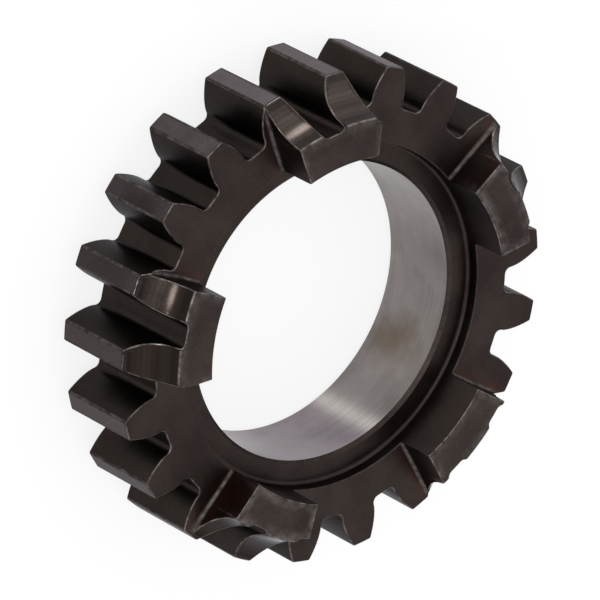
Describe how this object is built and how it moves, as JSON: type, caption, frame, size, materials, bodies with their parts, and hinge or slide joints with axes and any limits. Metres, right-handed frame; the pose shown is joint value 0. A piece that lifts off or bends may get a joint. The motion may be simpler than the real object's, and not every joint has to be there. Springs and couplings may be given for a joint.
{
  "type": "countershaft gear",
  "caption": "One-piece spur gear ring with a wide ground bore and driving dogs standing on its front face between hollow-turned tooth ends.",
  "frame": {"origin": "centre of the bore on the back face of the thrust boss, the face the gear lies on", "axes": "+Z along the bore axis, from the back boss towards the dogs; +X through the middle of a tooth"},
  "size_m": [0.0716, 0.0718, 0.0217],
  "materials": {
    "steel": "dark brown-black oxide on hardened steel, satin; bore ground bright"
  },
  "bodies": {
    "root": {"countershaft_gear": "steel"}
  },
  "joints": []
}
